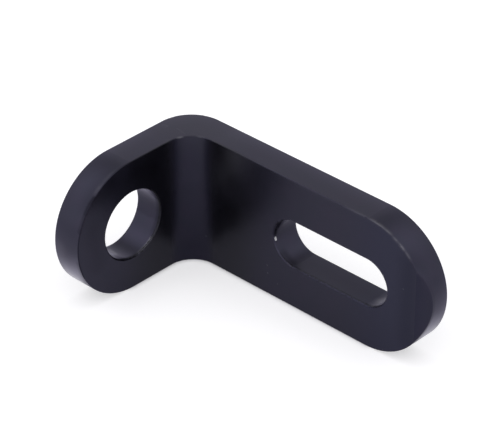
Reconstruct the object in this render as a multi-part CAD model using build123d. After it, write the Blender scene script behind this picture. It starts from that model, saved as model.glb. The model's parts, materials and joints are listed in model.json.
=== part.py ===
from build123d import *

import os

# Sensor bracket: one piece of black anodised aluminium, cut from solid to an L.
# The long leg is slotted and bolts to a machine. The short leg, square to it, carries a round sensor.
# Sizes are in millimetres. The origin is the centre of the sensor hole on the short leg's outer face.
# +X runs along the hole's axis and the long leg, +Y towards the long leg and +Z across the width.

# Legs
width = 25.0
thickness = 5.65
long_leg_length = 58.0  # from the short leg's outer face to the tip
short_leg_length = 32.4  # from the long leg's outer face to the tip

# Corner, which is thicker across its diagonal than the legs are
inner_corner_radius = 5.0
outer_corner_radius = 6.7

# Round hole in the short leg
sensor_hole_diameter = 12.9
sensor_hole_distance = 19.6  # from the long leg's outer face to the hole's axis

# Slot along the long leg, for the mounting screw
slot_width = 9.0
slot_travel = 16.0  # between the centres of its round ends
slot_distance = 37.4  # from the short leg's outer face to the slot's middle

# Long leg's tip, bevelled straight across on the inside at 45 degrees
tip_bevel = 2.0

# Edges: the outline is lightly rounded, and the hole and the slot are chamfered at both faces
outline_edge_radius = 0.15
mouth_chamfer = 0.15
chamfer_angle = 45.0
smooth_join_angle = 10.0  # faces that meet at less than this, in degrees, have no edge to round

# Places that follow from the sizes
end_radius = width / 2  # both legs end in a full round
outer_y = sensor_hole_distance
inner_y = outer_y - thickness
long_tip_x = long_leg_length
short_tip_y = outer_y - short_leg_length
cut_depth = thickness + inner_corner_radius  # clears the corner, however near to it an opening lies

# The legs' outer faces. Seen on each, X runs from the corner to the leg's tip and Z points out of the leg.
long_leg_face = Plane(origin=(0, outer_y, 0), x_dir=(1, 0, 0), z_dir=(0, 1, 0))
short_leg_face = Plane(origin=(0, outer_y, 0), x_dir=(0, -1, 0), z_dir=(-1, 0, 0))


def angle_section():
    """The L as seen along Z: both legs and the corner between them, with their ends still square."""
    corners_and_radii = [
        ((0, outer_y), outer_corner_radius),
        ((long_tip_x, outer_y), 0),
        ((long_tip_x, inner_y), 0),
        ((thickness, inner_y), inner_corner_radius),
        ((thickness, short_tip_y), 0),
        ((0, short_tip_y), 0),
    ]
    points, radii = zip(*corners_and_radii)
    return make_face(FilletPolyline(*points, radius=radii, close=True))


def leg_outline(length):
    """A leg seen square on: straight from the corner, with a full round at its tip."""
    straight = length - end_radius
    strip = Rectangle(straight, width, align=(Align.MIN, Align.CENTER))
    return strip + Pos(straight, 0) * Circle(end_radius)


def tip_wedge():
    """What the bevel takes from the long leg's tip, reaching past the leg on every side."""
    bevel_corners = [
        (long_tip_x - 2 * tip_bevel, inner_y - tip_bevel),
        (long_tip_x + tip_bevel, inner_y - tip_bevel),
        (long_tip_x + tip_bevel, inner_y + 2 * tip_bevel),
    ]
    return extrude(make_face(Polyline(*bevel_corners, close=True)), width / 2, both=True)


def corner_edges(solid):
    """The edges where two faces meet at a corner, without the joins between a flat and its tangent round."""
    found = ShapeList()
    for edge in solid.edges():
        faces = [face for face in solid.faces() if edge in face.edges()]
        middle = edge.position_at(0.5)
        turn = faces[0].normal_at(middle).get_angle(faces[-1].normal_at(middle))
        if turn > smooth_join_angle:
            found.append(edge)
    return found


def angle():
    """The L with its round ends and soft outline, before its openings are cut."""
    block = extrude(angle_section(), width / 2, both=True)
    block &= extrude(-long_leg_face * leg_outline(long_leg_length), short_leg_length)
    block &= extrude(-short_leg_face * leg_outline(short_leg_length), long_leg_length)
    block -= tip_wedge()
    return fillet(corner_edges(block), outline_edge_radius)


def opening(outline, leg_face, distance):
    """What an opening takes from a leg, that far along it: its outline, with a chamfer at both faces."""
    outline = Pos(distance, 0) * outline
    mouth = offset(outline, mouth_chamfer)
    inner_leg_face = leg_face.offset(-thickness)
    cut = extrude(-leg_face * outline, cut_depth)
    cut += extrude(-leg_face * mouth, mouth_chamfer, taper=chamfer_angle)
    cut += extrude(inner_leg_face * mouth, mouth_chamfer, taper=chamfer_angle)
    return cut


def bracket():
    """The finished bracket: the L, its sensor hole and its mounting slot."""
    sensor_hole = opening(Circle(sensor_hole_diameter / 2), short_leg_face, sensor_hole_distance)
    mounting_slot = opening(SlotCenterToCenter(slot_travel, slot_width), long_leg_face, slot_distance)
    return angle() - sensor_hole - mounting_slot


os.makedirs("parts", exist_ok=True)
export_step(bracket(), "parts/bracket.step")
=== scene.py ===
import json
from functools import reduce
from math import cos, radians, sin

import bpy
from mathutils import Matrix, Vector


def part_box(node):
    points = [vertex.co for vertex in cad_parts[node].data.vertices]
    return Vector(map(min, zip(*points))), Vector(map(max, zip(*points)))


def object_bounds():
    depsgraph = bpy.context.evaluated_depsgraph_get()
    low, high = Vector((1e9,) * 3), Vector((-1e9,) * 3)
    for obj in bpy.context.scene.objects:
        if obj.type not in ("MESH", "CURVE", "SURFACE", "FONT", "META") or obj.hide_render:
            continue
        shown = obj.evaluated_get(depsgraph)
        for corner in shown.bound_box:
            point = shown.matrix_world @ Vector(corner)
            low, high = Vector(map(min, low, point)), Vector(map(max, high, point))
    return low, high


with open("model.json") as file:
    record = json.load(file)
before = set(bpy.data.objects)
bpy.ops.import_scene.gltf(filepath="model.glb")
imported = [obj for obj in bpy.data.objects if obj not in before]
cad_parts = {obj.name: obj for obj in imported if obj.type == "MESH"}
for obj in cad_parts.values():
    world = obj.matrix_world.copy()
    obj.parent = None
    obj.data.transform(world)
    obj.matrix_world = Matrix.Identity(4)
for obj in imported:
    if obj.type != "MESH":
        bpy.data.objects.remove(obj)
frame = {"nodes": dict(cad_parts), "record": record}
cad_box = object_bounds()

# Sensor bracket in black anodised aluminium, standing on its edge on white paper.
# Objects are in metres, in the frame of the CAD model: X runs along the long leg, Y from the round hole to
# the long leg's outer face, and Z up. The materials measure in millimetres, along the same axes.
# Where a ramp takes a pair of numbers, they say where something is absent and where it is complete.
MM = 0.001

# Camera. It looks at both inner faces, from a little above. Angles are in degrees.
view_azimuth = 43.743
view_elevation = 32.922
view_roll = -0.190
view_target = Vector((0.024493, 0.006264, 0.007164))
view_distance = 0.43335
nearest_seen = 0.01
lens_mm = 198.01
sensor_mm = 36.0

# Floor of white paper. The camera sees it glow, so that open floor is white.
white = (1.0, 1.0, 1.0, 1.0)
floor_half_side = 2.0
floor_colour = (0.69, 0.685, 0.709, 1.0)
camera_glow = 0.465

# The camera sees less of that glow where the inner faces stand on the paper.
contact_shade = 0.72  # how much of it is gone at the faces
contact_reach = 1.25  # how far from the faces some of it is gone
contact_power = 2.5  # how quickly it comes back
contact_end = 2.0  # how far the shade goes on where a leg's round end leaves the paper

# Mirrors see the paper glow in a strip behind the outer faces, and farther back behind the short leg.
strip_glow = 0.30
short_strip_glow = 0.10  # as much more in the short leg's strip
strip_start = (0.0, 1.0)
strip_end = (9.0, 2.0)
far_glow = 0.075
far_start = (6.0, 20.0)

# Surround. It is white, about level 1, and brighter towards the camera, its left and overhead.
sky_level = 1.0
sky_rise = 0.13
sky_towards_camera = 0.459
sky_towards_left = 0.069
mean_height = 2 / 3  # of the sky's directions, each counted by how squarely it lights a level face

# Soft areas on it: how far towards the camera, to its left and up the middle lies, the reach and the strength
sky_areas = [
    # Light from both sides, a little behind
    ((-0.22, 0.65, 0.73), 0.60, 0.35),
    ((-0.22, -0.65, 0.73), 0.60, 0.35),
    # Darker high up behind, and brighter low down behind
    ((-0.55, 0.0, 0.83), 0.50, -0.35),
    ((-0.95, 0.0, 0.25), 0.60, 0.13),
]

# Sizes of the bracket, from its box and its mounts. The ones that these don't give repeat the CAD model's.
low, high = (Vector(corner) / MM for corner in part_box("bracket"))
mounts = {mount["name"]: mount for mount in frame["record"]["mounts"]}
top = high.z
end_radius = top  # both legs end in a full round
long_round_x = high.x - end_radius  # where the long leg's round end starts
short_round_y = low.y + end_radius  # and the short leg's
outer_y = high.y
inner_y = mounts["long_leg_inner_face"]["pos_m"][1] / MM
thickness = outer_y - inner_y
inner_radius = 5.0
outer_radius = 6.7
hole_radius = mounts["sensor_hole"]["dims"]["r_mm"]
slot_x = mounts["mounting_slot"]["pos_m"][0] / MM
slot_radius = 4.5
slot_travel = 16.0  # between the centres of the slot's round ends
tip_bevel = 2.0
bevel_angle = 45.0

# Colours of the anodised surface. A dye's colour is what the metal reflects once light has gone through it.
dye_colour = (0.0232, 0.0225, 0.0436, 1.0)
violet_dye = (0.0250, 0.0225, 0.0450, 1.0)
violet_blotches = (0.35, 0.65)  # by noise
tip_dye = (0.0215, 0.0222, 0.0500, 1.0)  # towards the long leg's tip
tip_start = (38.0, 50.0)
tip_end = (58.0, 54.0)
tip_rim = (0.10, 0.30)  # not on the rim
# Painted shade on the inner flats near the corner
corner_shade_colour = (0.0190, 0.0187, 0.0290, 1.0)  # on the inner flats, by distance from where they would meet
corner_start = (3.5, 6.0)
corner_end = (19.0, 9.0)
inner_flats = (0.40, 0.10)
# Painted shade: the dull places below take this colour and lose the sealed layer's gloss
dull_shade_colour = (0.0, 0.0, 0.0, 1.0)  # a fully dull place reflects at glancing angles only
# Of thin dye where the anodising is worn, and of the painted highlights
thin_dye_and_highlight = (0.16, 0.158, 0.18, 1.0)
bare_metal = (0.62, 0.62, 0.64, 1.0)
# Painted shade in the openings' lips and recesses is mixed towards this
black_shade_colour = (0.004, 0.004, 0.006, 1.0)  # of the dark places, which have no gloss

# Gloss of the anodised surface. The rougher and smoother places add to the satin roughness.
metallic_share = 0.966  # the rest shines as a dark lacquer does
glancing_tint = (0.85, 0.82, 1.0, 1.0)
satin_roughness = 0.300
mottle_roughness = 0.040
bend_roughness = 0.120  # the round inside the corner
bend_fading = (2.0, -1.0)
hole_roughness = -0.140
slot_roughness = 0.080
wall_fading = (0.30, 0.05)
seal_ior = 1.267  # the thin sealed layer over the dye shines at glancing angles
seal_roughness = 0.280

# Noise: how many millimetres across its blotches are
mottle_size = 3.0
mottle_detail = 3.0
break_size = 0.6
grain_size = 0.12
noise_detail = 2.0

# Relief, which is shading only
grain_depth = 0.002
opening_reach = 0.48  # how far from the edges of the hole and the slot the surface falls away
opening_slope = 0.80  # the slope at the edge itself
opening_breaks = (0.25, 0.60)  # by noise, so that it is uneven
hole_tightness = 2.0  # the hole's edges are rounded that much more tightly across the face
sharp_edge = ((25.6, inner_y, -2.2), 4.0)  # where the slot's edge is hardly broken: middle and reach
crease_reach = 2.40  # how far from the bevel's crease the surface is softened
crease_depth = 0.28
bevel_edge_reach = 0.50  # and from the edge between the bevel and the rim
bevel_edge_depth = 0.14
crown_reach = 4.4  # how far from the outer edges the rim starts to round off
crown_slope = 0.190  # the slope at the edge itself
rim_only = (0.60, 0.30)  # by distance from the rim

# Painted shade: the short leg's inner outline is dull, except low down.
outline_reach = (0.30, 0.05)
outline_end = (10.0, 7.0)
outline_heights = (-7.0, -3.0)
outline_shade = 0.40

# Painted shade: the round hole's wall is darker near its inner mouth, except low down.
mouth_depth = (1.30, 0.70)
mouth_wall = (0.20, 0.10)
mouth_heights = (-5.5, -3.0)
mouth_shade = 0.32

# Painted shade: the hole's inner edge has a dark lip low down, which ends a little past its lowest point.
lip_depth = (0.95, 0.35)
lip_wall = (0.25, 0.15)
lip_end = (1.5, -3.0)
lip_heights = (-3.0, -4.2)
lip_shade = 0.80

# Stretches of the inner edge, worn in places and painted highlights in others: the middle, how far the
# stretch goes along the edge, how far its line lies beside the edge on the rim, and how pale it is.
# Noise breaks them up.
worn_and_highlight_stretches = [
    ((thickness, -4.8, 11.7), 3.2, 0.45, 0.10),
    ((thickness, -7.3, 10.4), 2.2, 0.45, 0.14),
    # Painted highlights on the top edge of the round inside the corner
    ((6.10, 11.0, top), 1.0, 0.10, 0.60),
    ((8.60, 13.3, top), 1.4, 0.10, 0.30),
    ((28.0, inner_y, top), 24.0, -0.10, 0.06),
    ((43.5, inner_y, top), 5.0, 0.05, 0.20),
    ((47.6, inner_y, 12.3), 3.2, 0.10, 0.52),
    ((49.6, inner_y, 11.8), 1.6, 0.10, 0.40),
    ((51.4, inner_y, 11.0), 1.2, -0.10, 0.34),
    ((52.7, inner_y, 10.2), 1.2, -0.05, 0.62),
    ((54.0, inner_y, 9.2), 1.6, 0.00, 0.24),
]
worn_and_highlight_reach = 0.60  # how far across the edge they reach
worn_and_highlight_edge = (1.2, 0.9)  # and how far from it at most
worn_and_highlight_breaks = (0.25, 0.50)

# Pale places, as strokes: start, end, width and strength. The specks and scratches have thin dye.
pale_strokes = [
    # Specks on the long leg and in the corner
    ((23.42, inner_y, -6.80), (23.50, inner_y, -6.85), 0.40, 0.45),
    ((23.54, inner_y, -8.37), (23.60, inner_y, -8.30), 0.45, 0.45),
    ((25.86, inner_y, -9.54), (25.86, inner_y, -9.45), 0.35, 0.35),
    ((53.31, inner_y, 2.40), (53.40, inner_y, 2.40), 0.35, 0.40),
    ((9.20, 13.72, -7.25), (9.30, 13.75, -7.25), 0.35, 0.35),
    # Painted highlights on the lower edge of the round hole, and a painted glint at the bottom of its wall
    ((5.30, 4.30, -4.81), (5.30, 2.73, -5.85), 0.70, 0.38),
    ((5.30, 2.73, -5.85), (5.30, 1.10, -6.36), 0.70, 0.34),
    ((1.50, -1.75, -6.21), (3.10, -1.95, -6.15), 1.20, 0.72),
    # Painted highlight on the rim of the short leg's round end
    ((1.20, -12.60, -0.50), (1.00, -11.90, -5.00), 4.20, 0.15),
    # Painted highlights on the lower edge of the slot, and a painted glint on the wall of its far end
    ((28.00, 14.00, -4.30), (29.20, 14.00, -4.55), 0.45, 0.12),
    ((46.90, 16.40, -4.24), (48.30, 18.20, -3.44), 3.20, 0.55),
    # Painted reflections where the round inside the corner meets the flats, upper and lower part
    ((11.0, 13.9, top), (10.8, 13.9, 3.0), 3.8, 0.095),
    ((10.8, 13.9, 3.0), (10.8, 13.9, -9.0), 3.0, 0.050),
    ((5.7, 8.8, top), (5.7, 8.8, 3.0), 3.4, 0.085),
    ((5.7, 8.8, 3.0), (5.7, 8.8, -9.0), 3.0, 0.050),
    # A broad painted highlight on top of the corner
    ((3.0, 15.0, 17.0), (10.0, 17.0, 17.0), 22.0, 0.13),
    # A straight scratch and a hooked one on top of the corner
    ((3.66, 12.69, top), (5.73, 12.40, top), 0.22, 0.30),
    ((1.00, 11.76, top), (1.31, 12.05, top), 0.22, 0.40),
    ((1.31, 12.05, top), (1.98, 12.23, top), 0.22, 0.40),
    ((1.98, 12.23, top), (1.91, 11.58, top), 0.22, 0.40),
]

# Painted shade: places that are nearly black, as strokes
black_shade_strokes = [
    # Lip of the slot's near end
    ((24.95, 14.35, 0.10), (25.10, 14.45, 1.30), 1.50, 0.75),
    ((25.10, 14.45, 1.30), (25.80, 14.40, 2.80), 1.60, 0.75),
    ((25.02, 14.85, 1.20), (25.85, 15.30, 2.90), 1.60, 0.72),
    # Start of the slot's lower wall
    ((26.30, 14.30, -3.30), (27.60, 14.40, -4.15), 1.00, 0.25),
    ((26.60, 14.90, -3.50), (28.60, 14.90, -4.45), 2.60, 0.33),
    ((27.60, 14.40, -4.15), (30.50, 14.20, -4.50), 0.90, 0.20),
    # Inner edge of the short leg's round end, above and below its middle
    ((5.50, -8.65, 9.30), (5.35, -9.60, 8.35), 1.20, 0.55),
    ((5.35, -9.60, 8.35), (5.35, -10.70, 6.90), 1.20, 0.50),
    ((5.35, -10.70, 6.90), (5.30, -12.00, 4.00), 1.20, 0.32),
    ((5.30, -12.75, -2.00), (5.30, -11.90, -5.20), 1.40, 0.22),
    # Lower lip of the slot's far end
    ((49.30, 14.35, -2.25), (48.60, 14.35, -3.20), 0.90, 0.60),
    ((48.60, 14.35, -3.20), (47.10, 14.35, -4.17), 1.10, 0.80),
    ((47.10, 14.35, -4.17), (45.40, 14.35, -4.50), 0.90, 0.35),
]

# Painted shade: broad places that shine less, as strokes
dull_shade_strokes = [
    # Long leg's inner face beside the corner, and its tip
    ((13.8, inner_y, 9.5), (14.8, inner_y, 6.5), 7.0, 0.35),
    ((15.2, inner_y, 0.5), (15.2, inner_y, -1.5), 6.5, 0.22),
    ((54.3, inner_y, 7.5), (54.3, inner_y, -7.0), 7.0, 0.18),
    # Lower wall of the slot
    ((29.0, 17.0, -4.5), (46.0, 17.0, -4.5), 8.0, 0.16),
    # Round inside the corner
    ((7.1, 12.5, 10.0), (7.1, 12.5, -9.0), 7.0, 0.10),
    ((7.1, 12.5, 2.0), (7.1, 12.5, -9.0), 8.0, 0.17),
    # Short leg's inner face, above the hole and beside it
    ((thickness, -10.0, 9.0), (thickness, -5.0, 9.8), 7.0, 0.25),
    ((thickness, 4.8, 9.2), (thickness, 1.0, 10.0), 7.0, 0.28),
    ((thickness, -9.5, 3.0), (thickness, -8.5, -4.0), 6.0, 0.12),
]

# Chip at the slot's near end, where bare metal shows: start, end and width
chip = ((24.98, 14.32, -0.78), (25.00, 14.36, -1.10), 0.76)
chip_edge = (0.2, 0.5)


class Field:
    """A number that changes over a surface. Arithmetic on it adds the Math nodes that work it out."""

    def __init__(self, shader, socket):
        self.shader = shader
        self.socket = socket

    def maths(self, operation, other=0.0, clamp=False):
        made = self.shader.node("ShaderNodeMath", {0: self, 1: other}, operation=operation, use_clamp=clamp)
        return Field(self.shader, made.outputs[0])

    def __add__(self, other):
        return self.maths("ADD", other)

    def __sub__(self, other):
        return self.maths("SUBTRACT", other)

    def __mul__(self, other):
        return self.maths("MULTIPLY", other)

    def __neg__(self):
        return self * -1.0

    def __rsub__(self, other):
        return -self + other

    def __abs__(self):
        return self.maths("ABSOLUTE")

    def at_least(self, other):
        return self.maths("MAXIMUM", other)

    def at_most(self, other):
        return self.maths("MINIMUM", other)

    def power(self, other):
        return self.maths("POWER", other)

    def clamped(self):
        return self.maths("ADD", 0.0, clamp=True)

    def fade(self, reach):
        """1 where the number is 0, and from there in a straight line to 0 at this reach."""
        return (1.0 - self * (1 / reach)).clamped()

    def ramp(self, start, end):
        """0 where the number is start, 1 where it is end, and smooth in between."""
        inputs = {"Value": self, "From Min": start, "From Max": end}
        made = self.shader.node("ShaderNodeMapRange", inputs, interpolation_type="SMOOTHSTEP")
        return Field(self.shader, made.outputs["Result"])


def length(first, second):
    """The length of a vector with these two parts."""
    return (first * first + second * second).power(0.5)


def strongest(fields):
    """The largest of several fields at each point."""
    return reduce(Field.at_least, fields)


class Shader:
    """Makes the nodes of one material or world."""

    def __init__(self, owner):
        owner.use_nodes = True
        self.nodes = owner.node_tree.nodes
        self.links = owner.node_tree.links
        self.nodes.clear()

    def node(self, kind, inputs=None, **settings):
        made = self.nodes.new(kind)
        for name, value in settings.items():
            setattr(made, name, value)
        for name, value in (inputs or {}).items():
            self.feed(made.inputs[name], value)
        return made

    def feed(self, socket, value):
        """Links a field or a socket, or sets a plain value."""
        if isinstance(value, Field):
            value = value.socket
        if isinstance(value, bpy.types.NodeSocket):
            self.links.new(value, socket)
        else:
            socket.default_value = value

    def vectors(self, operation, first, second):
        return self.node("ShaderNodeVectorMath", {0: first, 1: second}, operation=operation).outputs

    def scaled(self, vector, factor):
        made = self.node("ShaderNodeVectorMath", {0: vector, "Scale": factor}, operation="SCALE")
        return made.outputs["Vector"]

    def unit(self, vector):
        made = self.node("ShaderNodeVectorMath", {0: vector}, operation="NORMALIZE")
        return made.outputs["Vector"]

    def position(self):
        """Where on the object a point lies, in millimetres."""
        return self.scaled(self.node("ShaderNodeTexCoord").outputs["Object"], 1 / MM)

    def axes(self, place):
        made = self.node("ShaderNodeSeparateXYZ", {0: place})
        return [Field(self, made.outputs[axis]) for axis in "XYZ"]

    def light_path(self, name):
        return Field(self, self.node("ShaderNodeLightPath").outputs[name])

    def nearness(self, place, centre, reach):
        """1 at a point and 0 this far from it."""
        return Field(self, self.vectors("DISTANCE", place, centre)["Value"]).ramp(reach, 0.0)

    def stroke(self, place, start, end, width):
        """1 along the middle of a straight stroke and 0 half its width from it."""
        along = Vector(end) - Vector(start)
        from_start = self.vectors("SUBTRACT", place, start)["Vector"]
        share = Field(self, self.vectors("DOT_PRODUCT", from_start, along / along.length_squared)["Value"])
        return self.nearness(from_start, self.scaled(along, share.clamped()), width / 2)

    def strokes(self, place, rows):
        """Every stroke of a list, each times its strength."""
        return [self.stroke(place, start, end, width) * strength for start, end, width, strength in rows]

    def noise(self, place, size, detail):
        """Noise between 0 and 1 whose blotches are about this many millimetres across."""
        made = self.node("ShaderNodeTexNoise", {"Vector": place, "Scale": 1 / size, "Detail": detail})
        return Field(self, made.outputs["Fac"])

    def mix(self, share, first, second):
        made = self.node("ShaderNodeMix", {0: share, 6: first, 7: second}, data_type="RGBA")
        return made.outputs[2]


def camera_matrix():
    """Where the camera stands. Azimuth 0 would be on the target's -Y side, and 90 on its +X side."""
    a, e, r = radians(view_azimuth), radians(view_elevation), radians(view_roll)
    back = Vector((sin(a) * cos(e), -cos(a) * cos(e), sin(e)))
    level = Vector((cos(a), sin(a), 0))
    upright = back.cross(level)
    right = level * cos(r) + upright * sin(r)
    up = upright * cos(r) - level * sin(r)
    place = view_target + back * view_distance
    return Matrix.Translation(place) @ Matrix((right, up, back)).transposed().to_4x4()


def add_camera():
    """The photograph's view."""
    data = bpy.data.cameras.new("camera")
    data.lens = lens_mm
    data.sensor_width = sensor_mm
    data.clip_start = nearest_seen
    camera = bpy.data.objects.new("camera", data)
    camera.matrix_world = camera_matrix()
    bpy.context.collection.objects.link(camera)
    bpy.context.scene.camera = camera


def angle_gap(x, y, corner_radius, face_x, face_y):
    """How far a point is from an L: a flat face square to X, one square to Y and the round between them."""
    past_x = (x - (face_x + corner_radius)).at_most(0.0)
    past_y = (y - (face_y - corner_radius)).at_least(0.0)
    return abs(length(past_x, past_y) - corner_radius)


def rim_gap(x, y, z):
    """How far a point is from the outline that runs round both legs."""
    past_long = (x - long_round_x).at_least(0.0)
    past_short = (short_round_y - y).at_least(0.0)
    return abs(length(past_long + past_short, z) - end_radius)


def hole_gap(y, z):
    """How far a point is from the round hole's wall."""
    return abs(length(y, z) - hole_radius)


def slot_gap(x, z):
    """How far a point is from the slot's wall."""
    past_centre = (abs(x - slot_x) - slot_travel / 2).at_least(0.0)
    return abs(length(past_centre, z) - slot_radius)


def bevel_gap(x, y):
    """How far a point is from the plane of the long leg's bevel."""
    return abs(x - y - (high.x - tip_bevel - inner_y)) * cos(radians(bevel_angle))


def contact_shadow(x, y):
    """1 on the paper at the foot of the inner faces, and 0 away from them."""
    near_faces = angle_gap(x, y, inner_radius, thickness, inner_y).fade(contact_reach).power(contact_power)
    along_legs = (x - long_round_x).ramp(contact_end, 0.0) * (short_round_y - y).ramp(contact_end, 0.0)
    return near_faces * along_legs


def rear_brightness(x, y):
    """How much mirrors see the paper glow behind the bracket."""
    past = (-x).at_least(y - outer_y)
    strip = past.ramp(*strip_start) * past.ramp(*strip_end)
    strip = strip * ((-x).ramp(*strip_start) * short_strip_glow + strip_glow)
    return strip + (-x).ramp(*far_start) * far_glow


def floor_material():
    """White paper. It keeps the shadow, and what the camera and mirrors see of it is lifted by a glow."""
    material = bpy.data.materials.new("white_paper")
    shader = Shader(material)
    x, y = shader.axes(shader.position())[:2]
    seen = shader.light_path("Is Camera Ray") * (1.0 - contact_shadow(x, y) * contact_shade) * camera_glow
    mirror = shader.light_path("Is Glossy Ray").at_least(shader.light_path("Is Transmission Ray"))
    strength = seen + mirror * rear_brightness(x, y)
    paper = shader.node("ShaderNodeBsdfDiffuse", {"Color": floor_colour})
    glow = shader.node("ShaderNodeEmission", {"Color": white, "Strength": strength})
    both = shader.node("ShaderNodeAddShader", {0: paper.outputs[0], 1: glow.outputs[0]})
    shader.node("ShaderNodeOutputMaterial", {"Surface": both.outputs[0]})
    return material


def add_floor():
    """A level square under the bracket."""
    height = cad_box[0][2]
    corners = [(-1, -1), (1, -1), (1, 1), (-1, 1)]
    points = [(x * floor_half_side, y * floor_half_side, height) for x, y in corners]
    mesh = bpy.data.meshes.new("floor")
    mesh.from_pydata(points, [], [(0, 1, 2, 3)])
    mesh.materials.append(floor_material())
    floor = bpy.data.objects.new("floor", mesh)
    bpy.context.collection.objects.link(floor)


def add_light():
    """A white surround whose brightness changes softly across the sky. The camera sees it as plain white."""
    world = bpy.data.worlds.new("studio")
    shader = Shader(world)
    a = radians(view_azimuth)
    towards_camera = Vector((sin(a), -cos(a), 0))
    towards_left = Vector((-cos(a), -sin(a), 0))
    upwards = Vector((0, 0, 1))
    direction = shader.node("ShaderNodeTexCoord").outputs["Generated"]

    slope = towards_camera * sky_towards_camera + towards_left * sky_towards_left + upwards * sky_rise
    rise = Field(shader, shader.vectors("DOT_PRODUCT", direction, slope)["Value"])
    strength = rise + (sky_level - sky_rise * mean_height)
    for (forward, left, up), reach, more in sky_areas:
        middle = towards_camera * forward + towards_left * left + upwards * up
        strength = strength + shader.nearness(direction, middle, reach) * more
    seen = shader.light_path("Is Camera Ray")
    shown = shader.node("ShaderNodeMix", {0: seen, 2: strength, 3: 1.0}).outputs[0]
    sky = shader.node("ShaderNodeBackground", {"Color": white, "Strength": shown})
    shader.node("ShaderNodeOutputWorld", {"Surface": sky.outputs[0]})
    bpy.context.scene.world = world


class Spot:
    """A point of the bracket's surface: where it lies, and how far from each face, wall and edge."""

    def __init__(self, shader):
        self.place = shader.position()
        self.x, self.y, self.z = shader.axes(self.place)
        self.inner = angle_gap(self.x, self.y, inner_radius, thickness, inner_y)
        self.outer = angle_gap(self.x, self.y, outer_radius, 0.0, outer_y)
        self.rim = rim_gap(self.x, self.y, self.z)
        self.hole = hole_gap(self.y, self.z)
        self.slot = slot_gap(self.x, self.z)
        self.bevel = bevel_gap(self.x, self.y)
        self.inner_edge = length(self.inner, self.rim)


def wear_and_highlight_share(shader, spot, breaks):
    """How pale the surface is: thin dye and painted highlights along the inner edges, broken up by noise, and
    in the pale strokes.
    """
    beside_edge = spot.inner - spot.rim
    stretches = []
    for centre, reach, beside, strength in worn_and_highlight_stretches:
        line = abs(beside_edge - beside).ramp(worn_and_highlight_reach, 0.0)
        stretches.append(shader.nearness(spot.place, centre, reach) * line * strength)
    edges = strongest(stretches) * spot.inner_edge.ramp(*worn_and_highlight_edge) * breaks.ramp(*worn_and_highlight_breaks)
    return strongest([edges] + shader.strokes(spot.place, pale_strokes))


def dull_shade_share(shader, spot):
    """How much painted shade dulls the surface: along the short leg's outline and in the dull strokes."""
    outline = spot.inner_edge.ramp(*outline_reach) * spot.x.ramp(*outline_end) * spot.z.ramp(*outline_heights)
    return strongest([outline * outline_shade] + shader.strokes(spot.place, dull_shade_strokes))


def black_shade_share(shader, spot):
    """How much painted shade blackens the surface: at the round hole's mouth and lower lip, and in the black
    strokes.
    """
    mouth = spot.inner.ramp(*mouth_depth) * spot.hole.ramp(*mouth_wall) * spot.z.ramp(*mouth_heights)
    lip = spot.inner.ramp(*lip_depth) * spot.hole.ramp(*lip_wall) * spot.z.ramp(*lip_heights)
    lip = lip * spot.y.ramp(*lip_end)
    return strongest([mouth * mouth_shade, lip * lip_shade] + shader.strokes(spot.place, black_shade_strokes))


def surface_colour(shader, spot, mottle, dull_shade, wear_and_highlight):
    """The dye's colour, its other tones, painted shade, wear and painted highlights, and the chip, laid over
    it in turn.
    """
    near_tip = spot.x.ramp(*tip_start) * spot.x.ramp(*tip_end) * spot.rim.ramp(*tip_rim)
    from_corner = length(spot.x - thickness, spot.y - inner_y)
    near_corner = from_corner.ramp(*corner_start) * from_corner.ramp(*corner_end)
    near_corner = near_corner * spot.inner.ramp(*inner_flats)
    layers = [
        (mottle.ramp(*violet_blotches), violet_dye),
        # painted shade near the inner corner
        (near_tip, tip_dye),
        (near_corner, corner_shade_colour),
        (dull_shade, dull_shade_colour),
        (wear_and_highlight, thin_dye_and_highlight),
        (shader.stroke(spot.place, *chip).ramp(*chip_edge), bare_metal),
    ]
    colour = dye_colour
    for share, layer in layers:
        colour = shader.mix(share, colour, layer)
    return colour


def surface_roughness(spot, mottle):
    """Satin, a little uneven, and different in the round inside the corner and on the openings' walls."""
    bend = (spot.x - (thickness + inner_radius)).ramp(*bend_fading)
    bend = bend * (inner_y - inner_radius - spot.y).ramp(*bend_fading)
    uneven = (mottle - 0.5) * mottle_roughness + satin_roughness
    walls = spot.hole.ramp(*wall_fading) * hole_roughness + spot.slot.ramp(*wall_fading) * slot_roughness
    return uneven + bend * bend_roughness + walls


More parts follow.
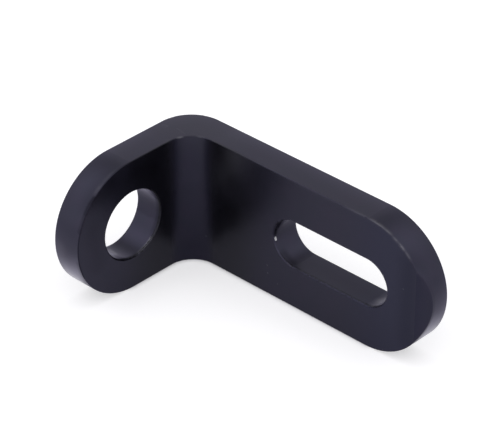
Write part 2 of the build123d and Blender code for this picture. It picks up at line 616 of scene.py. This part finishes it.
def surface_height(shader, spot, breaks):
    """How far the surface lies above the CAD shape: its grain, less what is rounded off at its edges."""
    grain = shader.noise(spot.place, grain_size, noise_detail)
    opening_edge = length(spot.inner.at_most(spot.outer), (spot.hole * hole_tightness).at_most(spot.slot))
    opening = opening_edge.fade(opening_reach)
    slope = (1.0 - shader.nearness(spot.place, *sharp_edge)) * breaks.ramp(*opening_breaks) * opening_slope
    crease = length(spot.bevel, spot.inner).fade(crease_reach)
    bevel_edge = length(spot.bevel, spot.rim).fade(bevel_edge_reach)
    off = opening * opening * slope * (opening_reach / 2)
    off = off + crease * crease * crease_depth + bevel_edge * bevel_edge * bevel_edge_depth
    return grain * grain_depth - off


def crowned_normal(shader, spot):
    """The surface's normal, which leans outward where the rim rounds off towards its outer edges."""
    crown = spot.outer.fade(crown_reach)
    lean = crown * crown * spot.rim.ramp(*rim_only) * crown_slope
    outward = shader.node("ShaderNodeCombineXYZ", {
        "X": (spot.x - outer_radius).at_most(0.0),
        "Y": (spot.y - (outer_y - outer_radius)).at_least(0.0),
    }).outputs[0]
    plain = shader.node("ShaderNodeNewGeometry").outputs["Normal"]
    return shader.unit(shader.vectors("ADD", plain, shader.scaled(shader.unit(outward), lean))["Vector"])


def anodised_material():
    """Black dyed and sealed aluminium, satin and a little mottled, with its wear, painted shade and painted
    highlights.
    """
    material = bpy.data.materials.new("black_anodised")
    shader = Shader(material)
    spot = Spot(shader)
    mottle = shader.noise(spot.place, mottle_size, mottle_detail)
    breaks = shader.noise(spot.place, break_size, noise_detail)
    dull_shade = dull_shade_share(shader, spot)
    wear_and_highlight = wear_and_highlight_share(shader, spot, breaks)
    normal = shader.node("ShaderNodeBump", {
        "Strength": 1.0,
        "Distance": MM,
        "Height": surface_height(shader, spot, breaks),
        "Normal": crowned_normal(shader, spot),
    }).outputs[0]
    sealed = shader.node("ShaderNodeBsdfPrincipled", {
        "Base Color": surface_colour(shader, spot, mottle, dull_shade, wear_and_highlight),
        "Metallic": metallic_share,
        "Roughness": surface_roughness(spot, mottle),
        "Specular Tint": glancing_tint,
        "Coat Weight": 1.0 - dull_shade,
        "Coat IOR": seal_ior,
        "Coat Roughness": seal_roughness,
        "Normal": normal,
    })
    black = shader.node("ShaderNodeBsdfDiffuse", {"Color": black_shade_colour})
    black_shade = black_shade_share(shader, spot)
    both = shader.node("ShaderNodeMixShader", {0: black_shade, 1: sealed.outputs[0], 2: black.outputs[0]})
    shader.node("ShaderNodeOutputMaterial", {"Surface": both.outputs[0]})
    return material


bpy.context.scene.view_settings.view_transform = "Standard"
add_camera()
add_floor()
add_light()
bracket = frame["nodes"]["bracket"]
bracket.material_slots[0].material = anodised_material()
